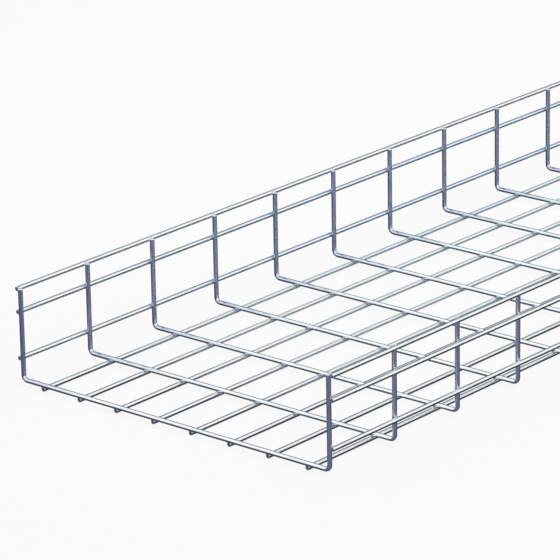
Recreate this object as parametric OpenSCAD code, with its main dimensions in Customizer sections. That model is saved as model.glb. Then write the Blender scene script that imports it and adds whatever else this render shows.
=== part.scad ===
// Wire mesh cable basket: a length of welded steel wire tray that carries cables.
//
// Cross wires are bent into a U and stand one mesh pitch apart along the tray. Lengthwise wires
// are spot welded to their outside: the base wires underneath, the side wires and a top wire on
// the outside of both walls. The legs are cut off level with the top wires, which are the smooth
// edges that cables are pulled over. Every wire is a solid of its own. A lengthwise wire stays
// round, and the cross wire carries the seat that it is welded into.
//
// +Z is up and the tray runs along Y. The origin is under the middle of the tray, at the lowest
// line of the base wires.

/* [Wire] */
// Diameter of every wire
wire_d = 5; // [4:0.5:6]
// Chamfer round the cut ends of the wires
cut_chamfer = 0.4; // [0.2:0.1:0.8]

/* [Basket] */
// Clear width between the two walls
inside_w = 400; // [100:50:600]
// Height of the walls, from the centres of the cross wires' base to the top of the top wires
wall_h = 100; // [60:10:150]
// Radius on the inside of the cross wire's bends
bend_inside_r = 3; // [2:0.5:8]

/* [Mesh] */
// Number of cross wires along the tray
cross_count = 31; // [2:1:41]
// Distance between neighbouring cross wires
cross_pitch = 100; // [50:10:150]
// Distance between neighbouring base wires
base_pitch = 50; // [40:5:100]
// Distance between neighbouring side wires of one wall
side_pitch = 50; // [40:5:100]
// Drop from the centre of a top wire to the centre of the highest side wire
top_gap = 25; // [20:0.5:40]
// Least distance from the end of a bend to the centre of the nearest lengthwise wire
bend_gap = 5; // [4:0.5:15]
// How far the lengthwise wires run past the centres of the outer cross wires
end_past = 1; // [0.5:0.5:30]
// How far the cut ends of the legs stand above the centres of the top wires
leg_past = 0.5; // [-1:0.5:2]

/* [Welds] */
// Depth of the seat that a lengthwise wire is welded into
weld_sink = 0.75; // [0.3:0.05:1]

/* [Hidden] */
$fn = 48;
wire_r = wire_d / 2;

// Lengthwise positions
wire_l = (cross_count - 1) * cross_pitch + 2 * end_past;
function cross_y(i) = (i - (cross_count + 1) / 2) * cross_pitch;

// Heights: the base wires lie on the ground and the cross wires rest in their welds on them
base_wire_z = wire_r;
cross_z = base_wire_z + wire_d - weld_sink;
top_wire_z = cross_z + wall_h - wire_r;
leg_end_z = top_wire_z + leg_past;

// Widths: the legs stand outside the clear width, the walls' wires are welded outside the legs
leg_x = inside_w / 2 + wire_r;
wall_wire_x = leg_x + wire_d - weld_sink;
bend_r = bend_inside_r + wire_r;

// Base wires are spread evenly about the middle, as many pairs as the bends leave room for
base_room = leg_x - bend_r - bend_gap;
base_pairs = max(1, floor(base_room / base_pitch + 0.5));
base_count = 2 * base_pairs;
function base_x(i) = (i - (base_count + 1) / 2) * base_pitch;

// Side wires are counted from the top down, as many as the bend leaves room for
side_room = top_wire_z - top_gap - cross_z - bend_r - bend_gap;
side_count = 1 + max(0, floor(side_room / side_pitch));
function side_z(i) = top_wire_z - top_gap - (i - 1) * side_pitch;

// Names of the nodes
SIDES = ["left", "right"];
function way(side) = side == "left" ? -1 : 1;
function cross_name(i) = str("cross_wire_", i < 10 ? "0" : "", i);
function base_name(i) = str("base_wire_", i);
function side_name(side, i) = str("side_wire_", side, "_", i);
function top_name(side) = str("top_wire_", side);

// A straight wire along the tray, cut square and chamfered at both ends
module lengthwise_wire(x, z) {
    color([0.80, 0.83, 0.86])
        translate([x, 0, z])
            rotate([90, 0, 0])
                rotate_extrude()
                    polygon([
                        [0, -wire_l / 2],
                        [wire_r - cut_chamfer, -wire_l / 2],
                        [wire_r, -wire_l / 2 + cut_chamfer],
                        [wire_r, wire_l / 2 - cut_chamfer],
                        [wire_r - cut_chamfer, wire_l / 2],
                        [0, wire_l / 2]
                    ]);
}

module base_wire(i) {
    lengthwise_wire(base_x(i), base_wire_z);
}

module side_wire(side, i) {
    lengthwise_wire(way(side) * wall_wire_x, side_z(i));
}

module top_wire(side) {
    lengthwise_wire(way(side) * wall_wire_x, top_wire_z);
}

// The lengthwise wires that touch the cross wire between a leg and the middle of the base
module welded_to_half(side) {
    top_wire(side);
    for (i = [1 : side_count])
        side_wire(side, i);
    for (i = [1 : base_count])
        if (base_x(i) * way(side) > 0)
            base_wire(i);
}

// Half of the bare U: half of the base, the bend and the leg up to its cut end
module half_u() {
    translate([0, 0, cross_z])
        rotate([0, 90, 0])
            cylinder(r = wire_r, h = leg_x - bend_r);
    translate([leg_x - bend_r, 0, cross_z + bend_r])
        rotate([90, 0, 0])
            rotate_extrude(angle = -90)
                translate([bend_r, 0])
                    circle(r = wire_r);
    translate([leg_x, 0, cross_z + bend_r])
        cylinder(r = wire_r, h = leg_end_z - cut_chamfer - cross_z - bend_r);
    translate([leg_x, 0, leg_end_z - cut_chamfer])
        cylinder(r1 = wire_r, r2 = wire_r - cut_chamfer, h = cut_chamfer);
}

// A cross wire: the U, less the seat of every wire that is welded to it
module cross_wire(i) {
    color([0.62, 0.65, 0.74])
        difference() {
            translate([0, cross_y(i), 0]) {
                half_u();
                mirror([1, 0, 0])
                    half_u();
            }
            for (side = SIDES)
                welded_to_half(side);
        }
}

for (i = [1 : cross_count])
    cross_wire(i);
for (i = [1 : base_count])
    base_wire(i);
for (side = SIDES, i = [1 : side_count])
    side_wire(side, i);
for (side = SIDES)
    top_wire(side);
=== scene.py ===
"""A length of welded steel wire cable basket, zinc plated, standing on a pale studio floor."""

import math

import bpy
from mathutils import Matrix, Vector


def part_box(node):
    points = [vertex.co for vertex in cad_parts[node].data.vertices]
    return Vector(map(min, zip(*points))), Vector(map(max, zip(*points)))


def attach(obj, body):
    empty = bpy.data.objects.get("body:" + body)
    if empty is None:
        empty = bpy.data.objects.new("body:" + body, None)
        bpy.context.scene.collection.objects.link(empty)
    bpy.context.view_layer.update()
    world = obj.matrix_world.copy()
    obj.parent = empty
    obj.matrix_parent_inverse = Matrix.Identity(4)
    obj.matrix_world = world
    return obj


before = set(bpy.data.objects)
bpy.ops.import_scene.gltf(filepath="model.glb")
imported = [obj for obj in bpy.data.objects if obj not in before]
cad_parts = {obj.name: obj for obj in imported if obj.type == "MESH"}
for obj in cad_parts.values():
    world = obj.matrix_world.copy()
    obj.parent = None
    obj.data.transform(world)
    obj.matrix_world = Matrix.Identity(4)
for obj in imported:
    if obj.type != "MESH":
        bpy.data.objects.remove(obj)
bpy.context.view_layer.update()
bpy.ops.object.select_all(action="DESELECT")
scene = bpy.context.scene
scene.view_settings.view_transform = "Standard"

# ---------------------------------------------------------------------------------------------
# Camera. A long lens, a little above the basket and off its right front corner, looks back
# along the tray. The tray runs on past the right edge of the picture.
CAMERA_PLACE = (2.39662, -4.13677, 1.38974)
CAMERA_HEADING = math.radians(40.5054)
CAMERA_DIP = math.radians(19.1228)
CAMERA_ROLL = math.radians(-1.0673)
CAMERA_LENS = 247.81
CAMERA_SENSOR = 36
CAMERA_REACH = (0.1, 100)

bpy.ops.object.camera_add(location=CAMERA_PLACE)
camera = bpy.context.object
camera.name = "studio_camera"
camera.rotation_euler = (
    Matrix.Rotation(CAMERA_HEADING, 3, "Z")
    @ Matrix.Rotation(math.pi / 2 - CAMERA_DIP, 3, "X")
    @ Matrix.Rotation(CAMERA_ROLL, 3, "Z")
).to_euler()
camera.data.lens = CAMERA_LENS
camera.data.sensor_width = CAMERA_SENSOR
camera.data.clip_start, camera.data.clip_end = CAMERA_REACH
scene.camera = camera


# ---------------------------------------------------------------------------------------------
# Studio. A white room with a pale floor and one wide softbox overhead, inside a light tent whose
# cloth, grey at the rear, and slate table below are what the bright wires mirror.
class Signal:
    """A node's output that takes part in ordinary sums."""

    def __init__(self, tree, socket):
        self.tree = tree
        self.socket = socket

    @classmethod
    def source(cls, tree, kind, output):
        return cls(tree, tree.nodes.new(kind).outputs[output])

    def node(self, kind, settings, inputs, output=0):
        made = self.tree.nodes.new(kind)
        for name, value in settings.items():
            setattr(made, name, value)
        for name, value in inputs.items():
            if isinstance(value, Signal):
                self.tree.links.new(value.socket, made.inputs[name])
            else:
                made.inputs[name].default_value = value
        return Signal(self.tree, made.outputs[output])

    def math(self, operation, *values):
        return self.node("ShaderNodeMath", {"operation": operation}, dict(enumerate(values)))

    def __add__(self, other):
        return self.math("ADD", self, other)

    __radd__ = __add__

    def __sub__(self, other):
        return self.math("SUBTRACT", self, other)

    def __rsub__(self, other):
        return self.math("SUBTRACT", other, self)

    def __mul__(self, other):
        return self.math("MULTIPLY", self, other)

    __rmul__ = __mul__

    def at_most(self, other):
        return self.math("MINIMUM", self, other)

    def at_least(self, other):
        return self.math("MAXIMUM", self, other)

    def unsigned(self):
        return self.math("ABSOLUTE", self)

    def root(self):
        return self.math("SQRT", self)

    def to_nearest(self, step):
        """Distance to the nearest whole multiple of step."""
        return self.math("PINGPONG", self, step / 2)

    def eased(self, start, end):
        """0 up to start, 1 from end on, smooth between them."""
        return self.node(
            "ShaderNodeMapRange",
            {"interpolation_type": "SMOOTHSTEP"},
            {"Value": self, "From Min": start, "From Max": end},
        )

    def between(self, first, second):
        """Blends two colours, this value being the share of the second."""
        return self.node(
            "ShaderNodeMix",
            {"data_type": "RGBA"},
            {0: self, 6: first, 7: second},
            output=2,
        )


WHITE = (1, 1, 1, 1)
ROOM_LIGHT = 0.75
world = bpy.data.worlds.new("white_room")
scene.world = world
world.use_nodes = True
room = world.node_tree
light_path = room.nodes.new("ShaderNodeLightPath")
seen = Signal(room, light_path.outputs["Is Camera Ray"])
for ray in ("Is Glossy Ray", "Is Transmission Ray"):
    seen = seen.at_least(Signal(room, light_path.outputs[ray]))
room.nodes["Background"].inputs["Color"].default_value = WHITE
room.links.new(
    (seen * (1 - ROOM_LIGHT) + ROOM_LIGHT).socket,
    room.nodes["Background"].inputs["Strength"],
)

FLOOR_REACH = 60
FLOOR_COLOUR = (0.84, 0.84, 0.85, 1)
FLOOR_ROUGHNESS = 0.9
FLOOR_SHINE = 0.1
FLOOR_LIFT = 0.86
bpy.ops.mesh.primitive_plane_add(size=FLOOR_REACH)
floor = bpy.context.object
floor.name = "studio_floor"
floor.visible_glossy = False
paper = bpy.data.materials.new("pale_floor")
paper.use_nodes = True
floor.data.materials.append(paper)
tree = paper.node_tree
paint = tree.nodes["Principled BSDF"]
paint.inputs["Base Color"].default_value = FLOOR_COLOUR
paint.inputs["Roughness"].default_value = FLOOR_ROUGHNESS
paint.inputs["Specular IOR Level"].default_value = FLOOR_SHINE
glow = tree.nodes.new("ShaderNodeEmission")
glow.inputs["Color"].default_value = WHITE
lift = Signal.source(tree, "ShaderNodeLightPath", "Is Camera Ray") * FLOOR_LIFT
mix = tree.nodes.new("ShaderNodeMixShader")
tree.links.new(lift.socket, mix.inputs[0])
tree.links.new(paint.outputs[0], mix.inputs[1])
tree.links.new(glow.outputs[0], mix.inputs[2])
tree.links.new(mix.outputs[0], tree.nodes["Material Output"].inputs["Surface"])

# The tent is seen in the metal only. Its cloth turns grey as it comes to face the rear, and the
# table below it fills everything under the horizon, bluer on the near side.
TENT_RADIUS = 9
TENT_CLOTH = (1.15, 1.15, 1.15, 1)
TENT_REAR = (0.24, 0.255, 0.265, 1)
TABLE_NEAR = (0.142, 0.160, 0.255, 1)
TABLE_FAR = (0.052, 0.055, 0.059, 1)
REAR_WAY = (-0.63, 0.74, 0.25)
REAR_FADE = (0.52, 0.82)
TABLE_FADE = (-0.6, 0.1)
HORIZON_FADE = (-0.015, 0.015)
bpy.ops.mesh.primitive_uv_sphere_add(segments=48, ring_count=24, radius=TENT_RADIUS)
tent = bpy.context.object
tent.name = "studio_tent"
cloth = bpy.data.materials.new("tent_cloth")
cloth.use_nodes = True
tree = cloth.node_tree
spot = Signal.source(tree, "ShaderNodeTexCoord", "Object")
way = spot.node("ShaderNodeVectorMath", {"operation": "NORMALIZE"}, {0: spot})
height = way.node("ShaderNodeSeparateXYZ", {}, {0: way}, output="Z")
rearward = way.node(
    "ShaderNodeVectorMath", {"operation": "DOT_PRODUCT"}, {0: way, 1: REAR_WAY}, output="Value"
)
table = rearward.eased(*TABLE_FADE).between(TABLE_NEAR, TABLE_FAR)
above = rearward.eased(*REAR_FADE).between(TENT_CLOTH, TENT_REAR)
painted = height.eased(*HORIZON_FADE).between(table, above)
even = tree.nodes.new("ShaderNodeEmission")
tree.links.new(painted.socket, even.inputs["Color"])
tree.links.new(even.outputs[0], tree.nodes["Material Output"].inputs["Surface"])
tent.data.materials.append(cloth)
tent.visible_camera = False
tent.visible_diffuse = False
tent.visible_shadow = False
tent.visible_transmission = False

SOFTBOX_PLACE = (0.4, 0.2, 3.2)
SOFTBOX_SIZE = (3.0, 4.5)
SOFTBOX_POWER = 30
bpy.ops.object.light_add(type="AREA", location=SOFTBOX_PLACE)
softbox = bpy.context.object
softbox.name = "overhead_softbox"
softbox.visible_glossy = False
softbox.data.shape = "RECTANGLE"
softbox.data.size, softbox.data.size_y = SOFTBOX_SIZE
softbox.data.energy = SOFTBOX_POWER


# ---------------------------------------------------------------------------------------------
# Wires. Drawn mild steel, cut to length, spot welded, then zinc plated all over. The plating is
# bright, with faint lines along the wire from the drawing die, a soft mottle, and a dull grey
# mark at each weld, darkened further as painted shade in the crossings. Over it lies a painted
# tint: painted shade, bluish on the left wall and violet at the left bends, and painted
# reflection, greenish on the base. The tint grows from the front of the tray to the back.
def middle(node):
    low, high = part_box(node)
    return (low + high) / 2


CROSS_PITCH = 0.1
BASE_PITCH = 0.05
wire_radius = middle("base_wire_1").z
leg_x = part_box("cross_wire_01")[1].x - wire_radius
cross_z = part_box("cross_wire_01")[0].z + wire_radius
tip_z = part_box("cross_wire_01")[1].z
wall_wires = ("side_wire_right_2", "side_wire_right_1", "top_wire_right")
wall_wire_z = [middle(name).z for name in wall_wires]
base_weld_z = (cross_z + wire_radius) / 2
wall_weld_x = (leg_x + middle("top_wire_right").x) / 2

ZINC = (0.81, 0.86, 0.885, 1)
# Painted reflection in cyan and painted shade in blue, laid over the zinc as a tint.
PAINTED_REFLECTION_CYAN = (0.82, 0.93, 0.94, 1)
PAINTED_SHADE_BLUE = (0.68, 0.80, 0.93, 1)
# Painted shade, violet, for the left bends and legs.
PAINTED_SHADE_VIOLET = (0.60, 0.66, 0.80, 1)
# A dull grey weld mark, which is also painted shade in the crossings.
WELD_MARK_AND_PAINTED_SHADE = (0.44, 0.45, 0.51, 1)
WELD_MARK_AND_PAINTED_SHADE_SHARE = 0.8
WELD_MARK = (0.0016, 0.0036)
WELD_MARK_RAGGED = 0.002
TOP_WELDS_CLEAN = (0.1, 0.101)

MOTTLE_SCALE = 38
MOTTLE_FADE = (0.45, 0.75)
MOTTLE_DULL = 0.14
GRAIN_SCALE = 900
DRAWN_FINE = 2600
DRAWN_LONG = 40

# Where the painted tint turns from blue painted shade to cyan painted reflection, and how it
# grows towards the back.
PAINTED_SHADE_TO_REFLECTION = (-0.2, -0.14)
PAINTED_TINT_GROWS = (-1.5, -0.6)
PAINTED_TINT_SLANT = 0.5
PAINTED_TINT_RAGGED = 0.6
PAINTED_TINT_ENDS_BELOW_TOP_WIRE = (0.09, 0.1)
# Matt patches: a painted reflection on the base wires, and the plating's own matt finish on the
# sheared tips.
MATT_FADE = (0.3, 0.7)
MATT_LEAST = 0.8
MATT_MOTTLE = 0.4

LEG_WAY_OUT = (0.197, 0.199)
LEG_WAY_UP = (0.012, 0.02)
ROUGH_LEAST = 0.07
ROUGH_MOTTLE = 0.04
ROUGH_LINES = 0.03
ROUGH_WELD = 0.22
ROUGH_LEG = 0.1
RELIEF_LINES = 0.5
RELIEF_WELD = 1.5
RELIEF_STRENGTH = 0.12
RELIEF_DEPTH = 0.00005


def zinc_plated(name, weld_distance, stretch, violet_film, pale_haze):
    """Zinc on one kind of wire. The last four are functions of a place on the wire: its distance
    from the nearest weld, the drawn lines' coordinates, the share of the violet painted shade,
    and the share of matt zinc, which on the base wires is a painted reflection."""
    finish = bpy.data.materials.new(name)
    finish.use_nodes = True
    tree = finish.node_tree
    metal = tree.nodes["Principled BSDF"]
    place = Signal.source(tree, "ShaderNodeTexCoord", "Object")
    axes = tree.nodes.new("ShaderNodeSeparateXYZ")
    tree.links.new(place.socket, axes.inputs[0])
    x, y, z = (Signal(tree, out) for out in axes.outputs)

    mottle = place.node(
        "ShaderNodeTexNoise",
        {},
        {"Vector": place, "Scale": MOTTLE_SCALE, "Detail": 4, "Roughness": 0.6},
    )
    grain = place.node(
        "ShaderNodeTexNoise",
        {},
        {"Vector": place, "Scale": GRAIN_SCALE, "Detail": 2, "Roughness": 0.5},
    )
    along, across = stretch(x, y, z)
    lines_at = place.node("ShaderNodeCombineXYZ", {}, {0: across[0], 1: across[1], 2: along})
    lines = place.node("ShaderNodeTexNoise", {}, {"Vector": lines_at, "Scale": 1, "Detail": 2})
    to_weld = weld_distance(x, y, z) + (grain - 0.5) * WELD_MARK_RAGGED
    # Weld mark: the dull plated weld, and painted shade where the wires cross.
    weld_mark_and_painted_shade = (1 - to_weld.eased(*WELD_MARK)) * (1 - z.eased(*TOP_WELDS_CLEAN))

    # Painted tint: blue painted shade on the left wall and cyan painted reflection elsewhere. It
    # grows towards the back of the tray and stops below the top wires.
    film = x.eased(*PAINTED_SHADE_TO_REFLECTION).between(PAINTED_SHADE_BLUE, PAINTED_REFLECTION_CYAN)
    painted_tint_share = (y - x * PAINTED_TINT_SLANT + (mottle - 0.5) * PAINTED_TINT_RAGGED).eased(*PAINTED_TINT_GROWS)
    painted_tint_share = painted_tint_share * (1 - z.eased(*PAINTED_TINT_ENDS_BELOW_TOP_WIRE))
    colour = painted_tint_share.between(ZINC, film)
    # Violet painted shade on the left bends and legs.
    colour = violet_film(x, y, z).between(colour, PAINTED_SHADE_VIOLET)
    colour = colour.node(
        "ShaderNodeVectorMath",
        {"operation": "SCALE"},
        {0: colour, "Scale": 1 - mottle.eased(*MOTTLE_FADE) * MOTTLE_DULL},
    )
    colour = (weld_mark_and_painted_shade * WELD_MARK_AND_PAINTED_SHADE_SHARE).between(colour, WELD_MARK_AND_PAINTED_SHADE)
    tree.links.new(colour.socket, metal.inputs["Base Color"])

    # Matt share: a lighter painted reflection on the base wires towards the back, and the matt
    # tips of the legs.
    haze = pale_haze(x, y, z) * (mottle.eased(*MATT_FADE) * MATT_MOTTLE + MATT_LEAST)
    tree.links.new((1 - haze).socket, metal.inputs["Metallic"])

    leg = x.unsigned().eased(*LEG_WAY_OUT) * z.eased(*LEG_WAY_UP)
    rough = ROUGH_LEAST + mottle * ROUGH_MOTTLE + lines * ROUGH_LINES
    rough = rough + weld_mark_and_painted_shade * ROUGH_WELD + leg * ROUGH_LEG
    tree.links.new(rough.socket, metal.inputs["Roughness"])

    relief = lines * RELIEF_LINES + weld_mark_and_painted_shade * grain * RELIEF_WELD
    bump = place.node(
        "ShaderNodeBump",
        {},
        {"Strength": RELIEF_STRENGTH, "Distance": RELIEF_DEPTH, "Height": relief},
    )
    tree.links.new(bump.socket, metal.inputs["Normal"])
    return finish


WALL_FROM = (0.199, 0.2)
LEG_ABOVE_BASE = (0.005, 0.006)
# Where the base wires are made partly matt as a painted reflection, lighter towards the back.
PAINTED_REFLECTION_WIRES = (0.005, 0.012)
PAINTED_REFLECTION_FROM_RIGHT_WALL = (0.04, 0.08)
PAINTED_REFLECTION_FROM_FRONT = (-1.45, -1.25)
PAINTED_REFLECTION_SHARE = 0.42
TIP_DEPTH = (0.0006, 0.0003)
# Where the violet painted shade starts on the left.
PAINTED_VIOLET_FROM_LEFT = (-0.2, -0.1)


def distance(a, b):
    return (a * a + b * b).root()


def on_leg(z):
    """0 on the base of a cross wire and 1 on its legs."""
    return z.eased(*(cross_z + step for step in LEG_ABOVE_BASE))


def lengthwise_welds(x, y, z):
    """A base wire is welded on its upper side and a wall wire on its inner side."""
    on_wall = x.unsigned().eased(*WALL_FROM)
    base_depth = z - base_weld_z
    wall_depth = x.unsigned() - wall_weld_x
    return distance(y.to_nearest(CROSS_PITCH), base_depth + on_wall * (wall_depth - base_depth))


def cross_welds(x, y, z):
    """The base is welded on its under side, and each leg on its outer side."""
    base_weld = distance((x + BASE_PITCH / 2).to_nearest(BASE_PITCH), z - base_weld_z)
    nearest = (z - wall_wire_z[0]).unsigned()
    for wire_z in wall_wire_z[1:]:
        nearest = nearest.at_most((z - wire_z).unsigned())
    leg_weld = distance(nearest, x.unsigned() - wall_weld_x)
    return base_weld + on_leg(z) * (leg_weld - base_weld)


def lines_lengthwise(x, y, z):
    return y * DRAWN_LONG, (x * DRAWN_FINE, z * DRAWN_FINE)


def lines_round_u(x, y, z):
    along = x + on_leg(z) * (z - x)
    across = z + on_leg(z) * (x - z)
    return along * DRAWN_LONG, (y * DRAWN_FINE, across * DRAWN_FINE)


def back_of_base_painted_reflection(x, y, z):
    """Painted reflection: the base wires are partly matt, and so lighter, from the second bay
    on, except near the right wall.
    """
    low = 1 - z.eased(*PAINTED_REFLECTION_WIRES)
    return low * (1 - x.eased(*PAINTED_REFLECTION_FROM_RIGHT_WALL)) * y.eased(*PAINTED_REFLECTION_FROM_FRONT) * PAINTED_REFLECTION_SHARE


def cut_tips(x, y, z):
    """The sheared tips of the legs, and the welds beside them, are matt and white."""
    return z.eased(*(tip_z - depth for depth in TIP_DEPTH))


def left_bend_painted_shade(x, y, z):
    """Painted shade, violet and darker, round the left bends and up the left legs."""
    return (1 - x.eased(*PAINTED_VIOLET_FROM_LEFT)) * (1 - cut_tips(x, y, z))


def nowhere(x, y, z):
    return x * 0


lengthwise_zinc = zinc_plated(
    "zinc_on_lengthwise_wires", lengthwise_welds, lines_lengthwise, nowhere, back_of_base_painted_reflection
)
cross_zinc = zinc_plated("zinc_on_cross_wires", cross_welds, lines_round_u, left_bend_painted_shade, cut_tips)
for name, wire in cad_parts.items():
    wire.material_slots[0].material = cross_zinc if name.startswith("cross") else lengthwise_zinc


# ---------------------------------------------------------------------------------------------
# Weld flash. Where two wires were pressed together and spot welded, a little molten steel was
# squeezed out as a thin ragged lip in the four corners of the crossing, and plated over.
FLASH_RADIUS = 0.0028
FLASH_FLATNESS = 0.33
FLASH_RAGGED = 0.0003
base_x = [middle(name).x for name in sorted(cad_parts) if name.startswith("base_wire")]
cross_y = [middle(name).y for name in sorted(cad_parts) if name.startswith("cross")]
# The lips below the top wires take the dull grey weld mark all over, which is also painted shade
# in the corners of the crossings.
flash_zinc = zinc_plated("zinc_on_weld_flash", nowhere, lines_lengthwise, nowhere, cut_tips)


def flash_lip(place, flat_along):
    """One lip, flattened against the wire that it lies on."""
    bpy.ops.mesh.primitive_uv_sphere_add(
        segments=12, ring_count=6, radius=FLASH_RADIUS, location=place
    )
    lip = bpy.context.object
    bpy.ops.object.transform_apply(location=True, rotation=False, scale=False)
    bpy.ops.object.mode_set(mode="EDIT")
    bpy.ops.mesh.select_all(action="SELECT")
    bpy.ops.transform.resize(
        value=[FLASH_FLATNESS if axis == flat_along else 1 for axis in range(3)],
        center_override=place,
    )
    bpy.ops.object.mode_set(mode="OBJECT")
    return lip


def repeat(piece, count, step):
    """Copies the piece in a row, all in one mesh."""
    array = piece.modifiers.new("repeat", "ARRAY")
    array.use_relative_offset = False
    array.use_constant_offset = True
    array.constant_offset_displace = step
    array.count = count
    bpy.context.view_layer.objects.active = piece
    bpy.ops.object.modifier_apply(modifier=array.name)


def finish_flash(piece, name, seed):
    """Roughens the lips, cuts them off level with the wires' ends and adds them to the tray."""
    bpy.ops.object.select_all(action="DESELECT")
    piece.select_set(True)
    bpy.context.view_layer.objects.active = piece
    bpy.ops.object.mode_set(mode="EDIT")
    bpy.ops.mesh.select_all(action="SELECT")
    bpy.ops.transform.vertex_random(offset=FLASH_RAGGED, seed=seed)
    for cut, outward in zip(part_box("base_wire_1"), (-1, 1)):
        bpy.ops.mesh.select_all(action="SELECT")
        bpy.ops.mesh.bisect(
            plane_co=(0, cut.y - outward * FLASH_RAGGED, 0),
            plane_no=(0, outward, 0),
            use_fill=True,
            clear_outer=True,
        )
    bpy.ops.object.mode_set(mode="OBJECT")
    bpy.ops.object.shade_smooth()
    piece.name = name
    piece.data.materials.append(flash_zinc)
    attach(piece, "root")
    bpy.ops.object.select_all(action="DESELECT")


base_flash = flash_lip((base_x[0], cross_y[0], base_weld_z), flat_along=2)
repeat(base_flash, len(base_x), (BASE_PITCH, 0, 0))
repeat(base_flash, len(cross_y), (0, CROSS_PITCH, 0))
finish_flash(base_flash, "base_weld_flash", seed=3)

wall_lips = [
    flash_lip((side * wall_weld_x, cross_y[0], wire_z), flat_along=0)
    for side in (-1, 1)
    for wire_z in wall_wire_z
]
bpy.ops.object.select_all(action="DESELECT")
for lip in wall_lips:
    lip.select_set(True)
wall_flash = wall_lips[0]
bpy.context.view_layer.objects.active = wall_flash
bpy.ops.object.join()
repeat(wall_flash, len(cross_y), (0, CROSS_PITCH, 0))
finish_flash(wall_flash, "wall_weld_flash", seed=5)
